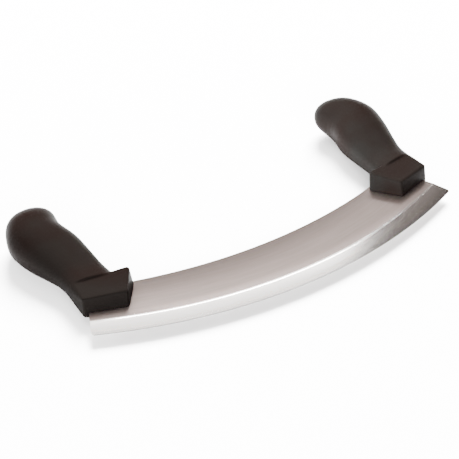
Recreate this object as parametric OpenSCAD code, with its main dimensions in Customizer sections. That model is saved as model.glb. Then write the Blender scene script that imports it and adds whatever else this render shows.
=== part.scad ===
// Mezzaluna: one curved chopping blade between two moulded handles.
// It lies on its side: X runs along the blade, Y from the cutting edge to the knobs, Z up.

/* [Blade] */
// Straight distance between the two tips
chord = 230; // [200:1:260]
// Radius of the cutting edge
edge_r = 277; // [260:1:340]
// Height of the blade at its middle
blade_h = 40.4; // [38:0.2:42]
// Radius of the back of the blade
spine_r = 280; // [265:1:330]
// Thickness of the sheet
sheet = 2; // [1.6:0.1:2.4]
// Width of the ground band on each side
grind_w = 10.2; // [6:0.2:12]
// Thickness left at the cutting edge
edge_t = 0.3; // [0.2:0.05:0.6]
// Radius of the rounded tips
tip_round = 1.8; // [0.6:0.1:3]

/* [Foot of a handle] */
// How far the foot's inner corner sits in from the tip
foot_in = 26.8; // [25:0.2:29]
// How far that corner sits above the cutting edge
foot_up = 21.3; // [19:0.2:22]
// Length of the foot's front, along its top face
foot_l = 24.2; // [23:0.1:25]
// Rise of the front towards the outside
foot_tilt = 16.5; // [14:0.5:19]
// Height of the foot's front above the blade's middle plane
foot_top = 10.1; // [9:0.1:10.6]
// Slope of the foot's top face, up towards the grip
foot_slope = 3; // [2:0.5:3.5]
// Fall of the foot's top face towards the outside
foot_fall = 2.5; // [1:0.5:3]
// Lean of the foot's front and of its inner side
foot_rake = 2.4; // [1:0.1:2.8]
// Depth of the foot below the blade's middle plane
foot_under = 2.2; // [2:0.1:3]
// Reach of the toe along the back of the blade
toe = 11.6; // [10:0.1:12.5]
// Depth of the foot from its front to its back, measured along the handle
foot_h = 17.4; // [16.6:0.2:18.4]
// Radius of the foot's upright corners
foot_round = 1.5; // [1:0.1:2]
// Bevel round the foot's top face
foot_bevel = 0.6; // [0.3:0.1:0.7]

/* [Grip] */
// Length of a handle from the foot's inner corner to the top of the knob
handle_l = 90.3; // [84:0.5:100]
// Width of the grip above the foot
neck_w = 26.3; // [25:0.1:28]
// Height of the neck above the blade's middle plane
neck_top = 11.8; // [11:0.2:13]
// Width of the knob
knob_w = 32.8; // [30:0.2:36]
// Height of the knob above the blade's middle plane
knob_top = 18.3; // [16:0.1:21]
// Squareness of the grip's outer side
outer_square = 2.2; // [2:0.1:2.8]
// Depth of the knob below the blade's middle plane
knob_under = 5.5; // [5:0.1:8]
// How far the knob leans outwards
lean = 5.8; // [4:0.2:8]

/* [Tang] */
// Width of the tang where it enters the grip
tang_w = 15; // [11:0.5:17]
// Width of the tang at its end
tang_end_w = 10; // [8:0.5:11]
// Length of the tang above the foot's inner corner
tang_l = 64; // [55:1:68]
// Holes that the moulding grips
key_d = 5.5; // [4:0.5:6]
// Room between the steel and the moulding
fit_gap = 0.1; // [0.05:0.05:0.3]

/* [Hidden] */
$fn = 96;
ring_n = 48;
steps = 4;
far = 400;
deep = 40;
hair = 0.12;
half = chord / 2;
edge_mid = [0, edge_r];
spine_mid = [0, blade_h + spine_r];
end_angle = asin(half / edge_r);
foot_x = half - foot_in;
foot_y = edge_r - sqrt(edge_r * edge_r - foot_x * foot_x) + foot_up;
total_y = foot_y + handle_l;
rest_z = knob_under;

// Points in a handle's own frame: the origin is the foot's inner lower corner
rise = tan(foot_tilt - 5);
corner_in = [-0.6, -0.6];
corner_out = corner_in + foot_l * [cos(foot_tilt), sin(foot_tilt)];
toe_tip = [-toe, foot_h - 1.3];
back_x = corner_out[0] * 0.5;
back_point = [back_x, foot_h + back_x * rise];
foot_high = [corner_in, corner_out, corner_out + [-2.1, 6.8], back_point, toe_tip];
foot_low = [
    corner_in + [0.5, -foot_rake],
    corner_out - [0, foot_rake * 0.6],
    corner_out + [-1.3, 6.8],
    back_point,
    toe_tip - foot_rake * [0.5, 1.15]
];

// Each station of the grip, from the foot to the crown:
// place along the handle, inner side, outer side, underside, top, squareness, slant
neck_in = corner_out[0] + 1.1 - neck_w;
neck_out = neck_in + neck_w;
knob_mid = neck_in + neck_w / 2 + lean;
crown_x = knob_mid - knob_w * 0.105;
crown_z = mix(-knob_under, knob_top, 0.55);
stations = [
    [foot_h + 0.6, neck_in - 0.7, neck_out - 0.5, 0.4 - foot_under, neck_top, 3, rise],
    [handle_l * 0.32, neck_in, neck_out, -foot_under, neck_top, 2.9, rise / 2],
    [handle_l * 0.445, neck_in, neck_out + 2.6, mix(-foot_under, -knob_under, 0.48),
        mix(neck_top, knob_top, 0.33), 2.7, 0],
    [handle_l * 0.60, knob_mid - knob_w * 0.57, knob_mid + knob_w * 0.43, -knob_under,
        mix(neck_top, knob_top, 0.78), 2.4, 0],
    [handle_l * 0.75, knob_mid - knob_w * 0.485, knob_mid + knob_w * 0.485, 0.2 - knob_under,
        knob_top, 2.3, 0],
    [handle_l * 0.88, knob_mid - knob_w * 0.525, knob_mid + knob_w * 0.37, 2.9 - knob_under,
        knob_top - 0.7, 2.2, 0],
    [handle_l * 0.955, knob_mid - knob_w * 0.43, knob_mid + knob_w * 0.22, 5.8 - knob_under,
        knob_top - 3.8, 2.2, 0],
    [handle_l * 0.99, knob_mid - knob_w * 0.27, knob_mid + knob_w * 0.06, 9.6 - knob_under,
        knob_top - 7.4, 2.2, 0],
    [handle_l, crown_x, crown_x, crown_z, crown_z, 2.2, 0]
];
last = len(stations) - 1;

function mix(a, b, t) = a + (b - a) * t;
function clamp(i) = max(0, min(last, i));
// A smooth curve through four neighbours
function curve(a, b, c, d, t) =
    b + 0.5 * t * (c - a + t * (2 * a - 5 * b + 4 * c - d + t * (3 * (b - c) + d - a)));
function station(i, t) =
    curve(stations[clamp(i - 1)], stations[i], stations[clamp(i + 1)], stations[clamp(i + 2)], t);
function power(v, p) = sign(v) * pow(abs(v), p);
// Height of the foot's top face
function face_z(p) = foot_top + p[1] * tan(foot_slope) - p[0] * tan(foot_fall);
// One ring of points round the grip
function ring(s) = [
    for (k = [0 : ring_n - 1])
        let (a = 360 * k / ring_n)
        let (mid = [(s[1] + s[2]) / 2, (max(s[3], -knob_under) + min(s[4], knob_top)) / 2])
        let (half_w = (s[2] - s[1]) / 2)
        let (half_t = (min(s[4], knob_top) - max(s[3], -knob_under)) / 2)
        let (p = 2 / (cos(a) > 0 ? min(s[5], outer_square) : s[5]))
        let (x = half_w * power(cos(a), p))
        [mid[0] + x, s[0] + s[6] * x, mid[1] + half_t * power(sin(a), p)]
];

rings = [for (i = [0 : last - 1]) for (j = [0 : steps - 1]) ring(station(i, j / steps))];
rows = len(rings);
crown = [crown_x, handle_l, crown_z];

// The blade's disc with both faces ground to the edge
module ground_disc() {
    translate(edge_mid)
        rotate_extrude($fn = 360)
            polygon([
                [0, -sheet / 2],
                [edge_r - grind_w, -sheet / 2],
                [edge_r, -edge_t / 2],
                [edge_r, edge_t / 2],
                [edge_r - grind_w, sheet / 2],
                [0, sheet / 2]
            ]);
}

// What rounding takes off the right-hand tip; the round is a hair large, so it cuts both sides cleanly
module tip_waste() {
    side = asin(tip_round / (edge_r - tip_round));
    translate(edge_mid)
        rotate(end_angle - side)
            translate([0, tip_round - edge_r, 0])
                difference() {
                    translate([0, -2 * tip_round, -sheet])
                        cube([2 * tip_round, 2 * tip_round, 2 * sheet]);
                    cylinder(r = tip_round + 0.02, h = 3 * sheet, center = true);
                }
}

// Everything between the two radial end cuts
module between_ends(grow) {
    wide = end_angle + asin(grow / edge_r);
    linear_extrude(height = deep, center = true)
        polygon([
            edge_mid,
            edge_mid + far * [-sin(wide), -cos(wide)],
            edge_mid + far * [sin(wide), -cos(wide)]
        ]);
}

// Everything on the edge side of the blade's back
module below_back(grow) {
    difference() {
        translate([-far / 2, -10, -deep / 2])
            cube([far, far / 2, deep]);
        translate(spine_mid)
            cylinder(r = spine_r - grow, h = 2 * deep, center = true, $fn = 360);
    }
}

// One tang, in a handle's own frame
module tang(grow) {
    low = [neck_in + neck_w / 2 - 1, 8];
    top = [knob_mid - 0.8, tang_l - tang_end_w / 2];
    difference() {
        union() {
            linear_extrude(height = sheet + 2 * grow, center = true)
                polygon([
                    low + [-tang_w / 2 - grow, 0],
                    low + [tang_w / 2 + grow, 0],
                    top + [tang_end_w / 2 + grow, 0],
                    top + [-tang_end_w / 2 - grow, 0]
                ]);
            translate(top)
                cylinder(d = tang_end_w + 2 * grow, h = sheet + 2 * grow, center = true);
        }
        for (t = [0.45, 0.8])
            translate([mix(low[0], top[0], t), mix(low[1], top[1], t), 0])
                cylinder(d = key_d - 2 * grow, h = sheet + 2, center = true);
    }
}

// A thin slice of the foot
module foot_slice(outline, inset) {
    linear_extrude(height = 0.01)
        offset(r = foot_round - inset, $fn = 48)
            offset(delta = -foot_round)
                polygon(outline);
}

// The grip's first section, a hair wider, and cut down to the foot's top face
module foot_back() {
    s = stations[0];
    wider = [s[0], s[1] - hair, s[2] + hair, s[3] - hair, s[4] + hair, s[5], s[6]];
    start = [for (p = ring(wider)) [p[0], p[1], min(p[2], face_z(p) - hair)]];
    front = [for (p = start) p - [0, 0.4, 0]];
    polyhedron(
        points = concat(start, front),
        faces = [
            [for (k = [0 : ring_n - 1]) k],
            [for (k = [ring_n - 1 : -1 : 0]) ring_n + k],
            for (k = [0 : ring_n - 1]) [k, ring_n + k, ring_n + (k + 1) % ring_n, (k + 1) % ring_n]
        ]
    );
}

module foot() {
    hull() {
        translate([0, 0, -foot_under])
            foot_slice(foot_low, 2 * foot_bevel);
        translate([0, 0, 2 * foot_bevel - foot_under])
            foot_slice(foot_low, 0);
        translate([0, 0, foot_top - foot_bevel])
            rotate([foot_slope, foot_fall, 0])
                foot_slice(foot_high, 0);
        translate([0, 0, foot_top])
            rotate([foot_slope, foot_fall, 0])
                foot_slice(foot_high, foot_bevel);
        foot_back();
    }
}

module grip() {
    points = concat([for (r = rings) for (p = r) p], [crown]);
    sides = [
        for (r = [0 : rows - 2]) for (k = [0 : ring_n - 1])
            let (a = r * ring_n + k)
            let (b = r * ring_n + (k + 1) % ring_n)
            each [[a, b, a + ring_n], [b, b + ring_n, a + ring_n]]
    ];
    top = [
        for (k = [0 : ring_n - 1])
            [(rows - 1) * ring_n + k, (rows - 1) * ring_n + (k + 1) % ring_n, rows * ring_n]
    ];
    bottom = [[for (k = [ring_n - 1 : -1 : 0]) k]];
    polyhedron(points = points, faces = concat(sides, top, bottom), convexity = 6);
}

// The space that the blade's end and its tang take inside a handle
module slot() {
    translate([foot_x, foot_y, 0])
        tang(fit_gap);
    intersection() {
        translate([foot_x - toe - 5, foot_y - 5, -sheet / 2 - fit_gap])
            cube([half, foot_h + 20, sheet + 2 * fit_gap]);
        between_ends(fit_gap);
        below_back(fit_gap);
    }
}

module blade_sheet() {
    difference() {
        intersection() {
            ground_disc();
            between_ends(0);
            below_back(0);
        }
        tip_waste();
        mirror([1, 0, 0])
            tip_waste();
    }
    for (side = [0, 1])
        mirror([side, 0, 0])
            translate([foot_x, foot_y, 0])
                tang(0);
}

module handle() {
    difference() {
        translate([foot_x, foot_y, 0]) {
            foot();
            grip();
        }
        slot();
    }
}

module blade() {
    color([0.74, 0.71, 0.70])
        translate([0, -total_y / 2, rest_z])
            blade_sheet();
}

module handle_right() {
    color([0.15, 0.12, 0.11])
        translate([0, -total_y / 2, rest_z])
            handle();
}

module handle_left() {
    color([0.15, 0.12, 0.11])
        translate([0, -total_y / 2, rest_z])
            mirror([1, 0, 0])
                handle();
}

blade();
handle_right();
handle_left();
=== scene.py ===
import math
import bpy
from mathutils import Matrix, Vector


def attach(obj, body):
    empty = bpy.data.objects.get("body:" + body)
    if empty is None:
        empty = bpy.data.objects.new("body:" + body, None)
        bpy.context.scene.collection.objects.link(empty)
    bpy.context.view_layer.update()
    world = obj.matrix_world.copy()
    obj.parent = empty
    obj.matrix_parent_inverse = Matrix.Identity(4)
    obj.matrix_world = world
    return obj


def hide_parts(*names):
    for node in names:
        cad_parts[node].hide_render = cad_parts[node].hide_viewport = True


# Mezzaluna lying on its side: finishes, floor, light and camera round the CAD frame.

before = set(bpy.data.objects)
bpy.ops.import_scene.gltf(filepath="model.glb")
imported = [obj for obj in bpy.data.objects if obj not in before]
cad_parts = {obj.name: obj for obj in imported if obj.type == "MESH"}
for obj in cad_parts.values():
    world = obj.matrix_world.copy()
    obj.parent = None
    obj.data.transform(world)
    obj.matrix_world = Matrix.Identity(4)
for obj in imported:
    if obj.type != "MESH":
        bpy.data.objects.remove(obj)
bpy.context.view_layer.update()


def newMaterial(name, roughness, metallic):
    material = bpy.data.materials.new(name)
    material.use_nodes = True
    shader = material.node_tree.nodes["Principled BSDF"]
    shader.inputs["Roughness"].default_value = roughness
    shader.inputs["Metallic"].default_value = metallic
    return material, shader


def addNode(tree, kind, **values):
    node = tree.nodes.new(kind)
    for name, value in values.items():
        if name in node.inputs:
            node.inputs[name].default_value = value
        else:
            setattr(node, name, value)
    return node


def calc(tree, operation, first, second=0.0):
    node = addNode(tree, "ShaderNodeMath", operation=operation)
    for socket, value in zip(node.inputs, (first, second)):
        if isinstance(value, (int, float)):
            socket.default_value = value
        else:
            tree.links.new(value, socket)
    return node.outputs[0]


def mapRange(tree, source, low, high, newLow, newHigh, kind="LINEAR"):
    node = addNode(tree, "ShaderNodeMapRange", interpolation_type=kind)
    node.inputs["From Min"].default_value = low
    node.inputs["From Max"].default_value = high
    node.inputs["To Min"].default_value = newLow
    node.inputs["To Max"].default_value = newHigh
    tree.links.new(source, node.inputs["Value"])
    return node.outputs["Result"]


# Goes from the first tone to the second while the source goes through the spread
def toneRamp(tree, source, spread, tones):
    node = tree.nodes.new("ShaderNodeValToRGB")
    for element, place, tone in zip(node.color_ramp.elements, spread, tones):
        element.position = place
        element.color = (*tone, 1)
    tree.links.new(source, node.inputs["Fac"])
    return node.outputs["Color"]


# The mix node's colour sockets come after its number and vector ones
def mixColours(tree, factor, first, second):
    node = addNode(tree, "ShaderNodeMix", data_type="RGBA")
    tree.links.new(factor, node.inputs[0])
    for socket, value in ((node.inputs[6], first), (node.inputs[7], second)):
        if isinstance(value, tuple):
            socket.default_value = (*value, 1)
        else:
            tree.links.new(value, socket)
    return node.outputs[2]


def scaled(tree, colour, amount):
    node = addNode(tree, "ShaderNodeVectorMath", operation="SCALE")
    tree.links.new(colour, node.inputs[0])
    tree.links.new(amount, node.inputs["Scale"])
    return node.outputs[0]


def cloudNoise(tree, place, scale, detail):
    cloud = addNode(tree, "ShaderNodeTexNoise", Scale=scale, Detail=detail)
    tree.links.new(place, cloud.inputs["Vector"])
    return cloud.outputs["Fac"]


def addRelief(tree, shader, height, strength, depth):
    bump = addNode(tree, "ShaderNodeBump", Strength=strength, Distance=depth)
    tree.links.new(height, bump.inputs["Height"])
    tree.links.new(bump.outputs["Normal"], shader.inputs["Normal"])


def dress(piece, material):
    piece.data.materials.clear()
    piece.data.materials.append(material)


# Blade: satin sheet, brushed along its arc, with a finer ground band at the edge.
# Radii are from the middle of the cutting edge's arc, and places round it are angles from the
# blade's middle. The roundings are bends, one over a radius, and are in the bump alone.
blade = {
    "edgeMiddle": (0.0, 0.21399),  # the middle of the arc, in X and Y
    "spineRadius": 0.2300,  # where the sheet's rounding starts
    "grindRadius": 0.2668,  # where the ground band starts
    "grindWidth": 0.0102,
    "bandSoftness": 0.0003,  # half the width over which the sheet turns into the band
    "sheetTones": ((0.226, 0.182, 0.165), (0.265, 0.217, 0.199)),  # dark and light streaks, both far darker than the ground band's tones of the same steel: painted shade on the whole sheet
    "groundTones": ((0.57, 0.54, 0.515), (0.67, 0.638, 0.608)),
    "toneSpread": (0.36, 0.62),  # where the streaks' noise is dark and where it is light
    "paintedSheenTone": 1.75,  # painted sheen: the sheet is lighter next to the ground band, by this much at most
    "paintedSheenWidth": 0.0065,
    "paintedSheenFade": (0.25, 0.37),  # where the painted sheen starts to fade and where it ends, round the arc
    "paintedEdgeShade": 0.54,  # painted shade: the ground band darkens to this share at the cutting edge
    "paintedRimShade": 0.3,  # and the edge itself to this one, a thin painted dark line
    "rimReach": (0.0003, 0.0001),  # how far inside the cutting edge that starts and ends
    "paintedRidgeHighlight": (0.82, 0.80, 0.77),  # painted highlight: the bright line where the ground band starts
    "ridgeWidth": 0.0012,
    "ridgeFade": (0.355, 0.43),  # where the line, with its painted highlight, starts to fade and where it is faintest, round the arc
    "ridgeFaint": 0.2,  # the share of it that is left there
    "sheetRoughness": 0.42,
    "groundRoughness": 0.12,
    "ridgeRoughness": 0.07,  # the grinding leaves the line polished
    "roughnessWander": 0.012,
    "cloudScale": 14.0,  # of the noise that this follows
    "cloudDetail": 3.0,
    "crown": 8.5,  # rounding of the sheet's faces, across them
    "crownTop": 0.2550,
    "grindCrown": 1.0,
    "ridgeRound": 43.0,
    "brushFineness": (2600.0, 14.0),  # across the arc and along it
    "brushDetail": 5.0,
    "brushHarshness": 0.6,
    "brushDepth": 0.0000012,
    "streakFineness": (420.0, 5.0),
    "streakDetail": 3.0,
}
edgeRadius = blade["grindRadius"] + blade["grindWidth"]


# Where a point is on the blade: its radius, its angle from the blade's middle, and both together
def arcPlace(tree, place):
    shifted = addNode(tree, "ShaderNodeVectorMath", operation="SUBTRACT")
    shifted.inputs[1].default_value = (*blade["edgeMiddle"], 0)
    tree.links.new(place, shifted.inputs[0])
    level = addNode(tree, "ShaderNodeVectorMath", operation="MULTIPLY")
    level.inputs[1].default_value = (1, -1, 0)  # the blade lies on the -Y side of the arc's middle
    tree.links.new(shifted.outputs[0], level.inputs[0])
    parts = tree.nodes.new("ShaderNodeSeparateXYZ")
    tree.links.new(level.outputs[0], parts.inputs[0])
    length = addNode(tree, "ShaderNodeVectorMath", operation="LENGTH")
    tree.links.new(level.outputs[0], length.inputs[0])
    radius = length.outputs["Value"]
    turn = calc(tree, "ARCTAN2", parts.outputs["X"], parts.outputs["Y"])
    both = tree.nodes.new("ShaderNodeCombineXYZ")
    tree.links.new(radius, both.inputs["X"])
    tree.links.new(turn, both.inputs["Y"])
    return radius, turn, both.outputs[0]


# Noise drawn out along the arc
def brushNoise(tree, arc, fineness, detail):
    stretched = tree.nodes.new("ShaderNodeMapping")
    stretched.inputs["Scale"].default_value = (*fineness, 1.0)
    tree.links.new(arc, stretched.inputs["Vector"])
    brush = addNode(tree, "ShaderNodeTexNoise", Scale=1.0, Detail=detail, Roughness=blade["brushHarshness"])
    tree.links.new(stretched.outputs[0], brush.inputs["Vector"])
    return brush.outputs["Fac"]


# Height of a shallow round hump across the blade between two radii, highest at the top's own radius
def humpHeight(tree, radius, low, high, top, bend):
    away = mapRange(tree, radius, low, high, low - top, high - top)
    return calc(tree, "MULTIPLY", calc(tree, "MULTIPLY", away, away), -bend / 2)


def steelColour(tree, radius, fromMiddle, mottle, inBand, onRidge):
    start = blade["grindRadius"]
    sheet = toneRamp(tree, mottle, blade["toneSpread"], blade["sheetTones"])
    ground = toneRamp(tree, mottle, blade["toneSpread"], blade["groundTones"])
    # Painted sheen: the sheet's colour is lifted next to the ground band, less towards both ends of the arc
    nearBand = mapRange(tree, radius, start - blade["paintedSheenWidth"], start, 0, 1)
    midway = mapRange(tree, fromMiddle, *blade["paintedSheenFade"], 1, 0, "SMOOTHSTEP")
    paintedSheen = calc(tree, "MULTIPLY", nearBand, midway)
    sheet = scaled(tree, sheet, mapRange(tree, paintedSheen, 0, 1, 1, blade["paintedSheenTone"]))
    colour = mixColours(tree, inBand, sheet, ground)
    # Painted shade: the ground band darker towards the cutting edge, and darker still in a thin line on the
    # edge itself
    edgeShading = mapRange(tree, radius, start, edgeRadius, 1, blade["paintedEdgeShade"])
    rimStart, rimEnd = (edgeRadius - reach for reach in blade["rimReach"])
    rimShading = mapRange(tree, radius, rimStart, rimEnd, 1, blade["paintedRimShade"])
    colour = scaled(tree, colour, calc(tree, "MULTIPLY", edgeShading, rimShading))
    # Painted highlight: a light colour along the line where the ground band starts, fading round the arc
    return mixColours(tree, onRidge, colour, blade["paintedRidgeHighlight"])


def steelRoughness(tree, place, inBand, onRidge):
    cloud = cloudNoise(tree, place, blade["cloudScale"], blade["cloudDetail"])
    wander = mapRange(tree, cloud, 0, 1, -blade["roughnessWander"], blade["roughnessWander"])
    finish = mapRange(tree, inBand, 0, 1, blade["sheetRoughness"], blade["groundRoughness"])
    plain = calc(tree, "ADD", finish, wander)
    toRidge = calc(tree, "SUBTRACT", blade["ridgeRoughness"], plain)
    return calc(tree, "ADD", plain, calc(tree, "MULTIPLY", onRidge, toRidge))


# The brushing, and the roundings of the sheet, the ground band and the line between them
def steelHeight(tree, radius, brush, fade):
    start = blade["grindRadius"]
    ridgeEnd = start + blade["ridgeWidth"]
    ridge = humpHeight(tree, radius, start, ridgeEnd, ridgeEnd, blade["ridgeRound"])
    height = mapRange(tree, brush, 0, 1, 0, blade["brushDepth"])
    for hump in (
        humpHeight(tree, radius, blade["spineRadius"], start, blade["crownTop"], blade["crown"]),
        humpHeight(tree, radius, start, edgeRadius, (start + edgeRadius) / 2, blade["grindCrown"]),
        calc(tree, "MULTIPLY", ridge, fade),
    ):
        height = calc(tree, "ADD", height, hump)
    return height


def steelMaterial():
    material, shader = newMaterial("bladeSteel", blade["sheetRoughness"], 1.0)
    tree = material.node_tree
    place = tree.nodes.new("ShaderNodeTexCoord").outputs["Object"]
    radius, turn, arc = arcPlace(tree, place)
    fromMiddle = calc(tree, "ABSOLUTE", turn)
    brush = brushNoise(tree, arc, blade["brushFineness"], blade["brushDetail"])
    streaks = brushNoise(tree, arc, blade["streakFineness"], blade["streakDetail"])
    mottle = calc(tree, "MULTIPLY", calc(tree, "ADD", brush, streaks), 0.5)
    start, soft = blade["grindRadius"], blade["bandSoftness"]
    inBand = mapRange(tree, radius, start - soft, start + soft, 0, 1)
    fromRidge = calc(tree, "ABSOLUTE", calc(tree, "SUBTRACT", radius, start))
    nearRidge = mapRange(tree, fromRidge, 0, blade["ridgeWidth"], 1, 0, "SMOOTHSTEP")
    fade = mapRange(tree, fromMiddle, *blade["ridgeFade"], 1, blade["ridgeFaint"], "SMOOTHSTEP")
    onRidge = calc(tree, "MULTIPLY", nearRidge, fade)
    colour = steelColour(tree, radius, fromMiddle, mottle, inBand, onRidge)
    tree.links.new(colour, shader.inputs["Base Color"])
    tree.links.new(steelRoughness(tree, place, inBand, onRidge), shader.inputs["Roughness"])
    addRelief(tree, shader, steelHeight(tree, radius, brush, fade), 1.0, 1.0)  # heights are in metres
    return material


# Handles: near-black brown moulding with a fine skin and soft gloss
handle = {
    "tones": ((0.0025, 0.0013, 0.00105), (0.0030, 0.0024, 0.0021)),
    "toneSpread": (0.38, 0.62),  # where the noise is the first tone and where the second
    "cloudScale": 22.0,
    "cloudDetail": 4.0,
    "roughness": 0.46,
    "roughnessChange": (-0.06, 0.10),  # over the same noise
    "shine": 0.011,
    "grainScale": 900.0,
    "grainDetail": 2.0,
    "grainStrength": 0.2,
    "grainDepth": 0.00004,
    "weld": 0.000002,  # joins the mesh's split points
    "meshSize": 0.00045,
    "easing": 8,  # rounds of smoothing, for edges of about 0.8 mm radius
    "easingShare": 0.5,  # how far each round moves a point
}


def plasticMaterial():
    material, shader = newMaterial("handlePlastic", handle["roughness"], 0.0)
    shader.inputs["Specular IOR Level"].default_value = handle["shine"]
    tree = material.node_tree
    place = tree.nodes.new("ShaderNodeTexCoord").outputs["Object"]
    cloud = cloudNoise(tree, place, handle["cloudScale"], handle["cloudDetail"])
    tone = toneRamp(tree, cloud, handle["toneSpread"], handle["tones"])
    tree.links.new(tone, shader.inputs["Base Color"])
    least, most = (handle["roughness"] + change for change in handle["roughnessChange"])
    tree.links.new(mapRange(tree, cloud, 0, 1, least, most), shader.inputs["Roughness"])
    grain = cloudNoise(tree, place, handle["grainScale"], handle["grainDetail"])
    addRelief(tree, shader, grain, handle["grainStrength"], handle["grainDepth"])
    return material


# A moulding with soft edges over a handle's solid: the same form in a fine even mesh, eased all over
def mouldHandle(side, material):
    node = "handle_" + side
    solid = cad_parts[node]
    blank = bpy.data.objects.new("roughHandle", solid.data.copy())
    bpy.context.collection.objects.link(blank)
    blank.modifiers.new("weld", "WELD").merge_threshold = handle["weld"]
    mesh = blank.modifiers.new("mesh", "REMESH")
    mesh.mode = "VOXEL"
    mesh.voxel_size = handle["meshSize"]
    ease = blank.modifiers.new("ease", "SMOOTH")
    ease.factor = handle["easingShare"]
    ease.iterations = handle["easing"]
    bpy.context.view_layer.update()
    fine = blank.evaluated_get(bpy.context.evaluated_depsgraph_get())
    piece = bpy.data.objects.new("moulding_" + side, bpy.data.meshes.new_from_object(fine))
    bpy.data.objects.remove(blank)
    bpy.context.collection.objects.link(piece)
    piece.data.polygons.foreach_set("use_smooth", [True] * len(piece.data.polygons))
    dress(piece, material)
    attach(piece, "root")
    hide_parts(node)
    print("handle", side, "has", len(piece.data.polygons), "faces")
    return piece


steel = steelMaterial()
plastic = plasticMaterial()
dress(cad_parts["blade"], steel)
mouldings = {side: mouldHandle(side, plastic) for side in ("right", "left")}
print("finishes done")

# Floor and light. Bearings are in degrees from +Y towards +X, and a rise is above level.
room = {
    "floorColour": (0.93, 0.93, 0.93),
    "floorRoughness": 0.9,
    "floorShine": 0.1,
    "floorSize": 12.0,
    "skyColour": (1.0, 0.87, 0.83),
    "skyStrength": 0.35,
    "innerTint": (0.80, 1.0, 1.08),
}
panels = {
    "backLight": dict(bearing=48, height=3.0, across=(-4.0, -0.103), along=(-0.5, 3.231), glow=5.2),
    "backStrip": dict(bearing=24, height=2.99, across=(0.0, 1.12), along=(3.07, 3.28), glow=50),
}
softboxes = {
    "keyLight": dict(bearing=40, rise=42, distance=6.0, size=(3.0, 3.2), glow=250),
    "leftLight": dict(bearing=300, rise=16, distance=3.0, size=(2.4, 1.0), glow=20),
    "fillLight": dict(bearing=208, rise=22, distance=3.5, size=(3.0, 1.2), glow=50),
    "innerLight": dict(bearing=276, rise=14, distance=3.0, size=(2.0, 1.4), glow=240),
}


def makeFloor():
    bpy.ops.mesh.primitive_plane_add(size=room["floorSize"])
    floor = bpy.context.object
    floor.name = "floor"
    material, shader = newMaterial("floorPaint", room["floorRoughness"], 0.0)
    shader.inputs["Base Color"].default_value = (*room["floorColour"], 1)
    shader.inputs["Specular IOR Level"].default_value = room["floorShine"]
    floor.data.materials.append(material)


def addLight(name, size, glow):
    data = bpy.data.lights.new(name, "AREA")
    data.shape = "RECTANGLE"
    data.size, data.size_y = size
    data.energy = glow * math.pi * size[0] * size[1]
    light = bpy.data.objects.new(name, data)
    bpy.context.collection.objects.link(light)
    return light


# A level panel overhead: its sides run along a bearing, its span is given across and along it
def addPanel(name, bearing, height, across, along, glow):
    panel = addLight(name, (across[1] - across[0], along[1] - along[0]), glow)
    turn = math.radians(bearing)
    aside = (across[0] + across[1]) / 2
    ahead = (along[0] + along[1]) / 2
    panel.location = (
        aside * math.cos(turn) + ahead * math.sin(turn),
        ahead * math.cos(turn) - aside * math.sin(turn),
        height,
    )
    panel.rotation_euler = (0, 0, -turn)


# A soft box that faces the part
def addSoftbox(name, bearing, rise, distance, size, glow):
    box = addLight(name, size, glow)
    turn, lift = math.radians(bearing), math.radians(rise)
    out = Vector((math.sin(turn) * math.cos(lift), math.cos(turn) * math.cos(lift), math.sin(lift)))
    box.location = out * distance
    box.rotation_euler = (-out).to_track_quat("-Z", "Y").to_euler()
    return box


def lightRoom():
    world = bpy.data.worlds.new("studio")
    bpy.context.scene.world = world
    world.use_nodes = True
    sky = world.node_tree.nodes["Background"]
    sky.inputs["Color"].default_value = (*room["skyColour"], 1)
    sky.inputs["Strength"].default_value = room["skyStrength"]
    for name, panel in panels.items():
        addPanel(name, **panel)
    boxes = {name: addSoftbox(name, **box) for name, box in softboxes.items()}
    for name in ("keyLight", "innerLight"):
        boxes[name].visible_glossy = False  # so the steel doesn't mirror them
    inner = boxes["innerLight"]  # lights the right handle alone
    inner.data.color = room["innerTint"]
    inner.light_linking.receiver_collection = bpy.data.collections.new("rightMoulding")
    inner.light_linking.receiver_collection.objects.link(mouldings["right"])


# Camera: turned in degrees from +Y towards +X, and tilted down from level
viewpoint = {
    "place": (-0.40893, -0.62193, 0.54664),
    "turn": 32.823,
    "tilt": 36.207,
    "roll": -0.42,
    "lens": 132.1,
}


def placeCamera():
    data = bpy.data.cameras.new("camera")
    data.lens = viewpoint["lens"]
    camera = bpy.data.objects.new("camera", data)
    bpy.context.collection.objects.link(camera)
    camera.matrix_world = (
        Matrix.Translation(viewpoint["place"])
        @ Matrix.Rotation(-math.radians(viewpoint["turn"]), 4, "Z")
        @ Matrix.Rotation(math.radians(90 - viewpoint["tilt"]), 4, "X")
        @ Matrix.Rotation(math.radians(viewpoint["roll"]), 4, "Z")
    )
    bpy.context.scene.camera = camera


makeFloor()
lightRoom()
placeCamera()
print("stage done")

bpy.context.view_layer.update()
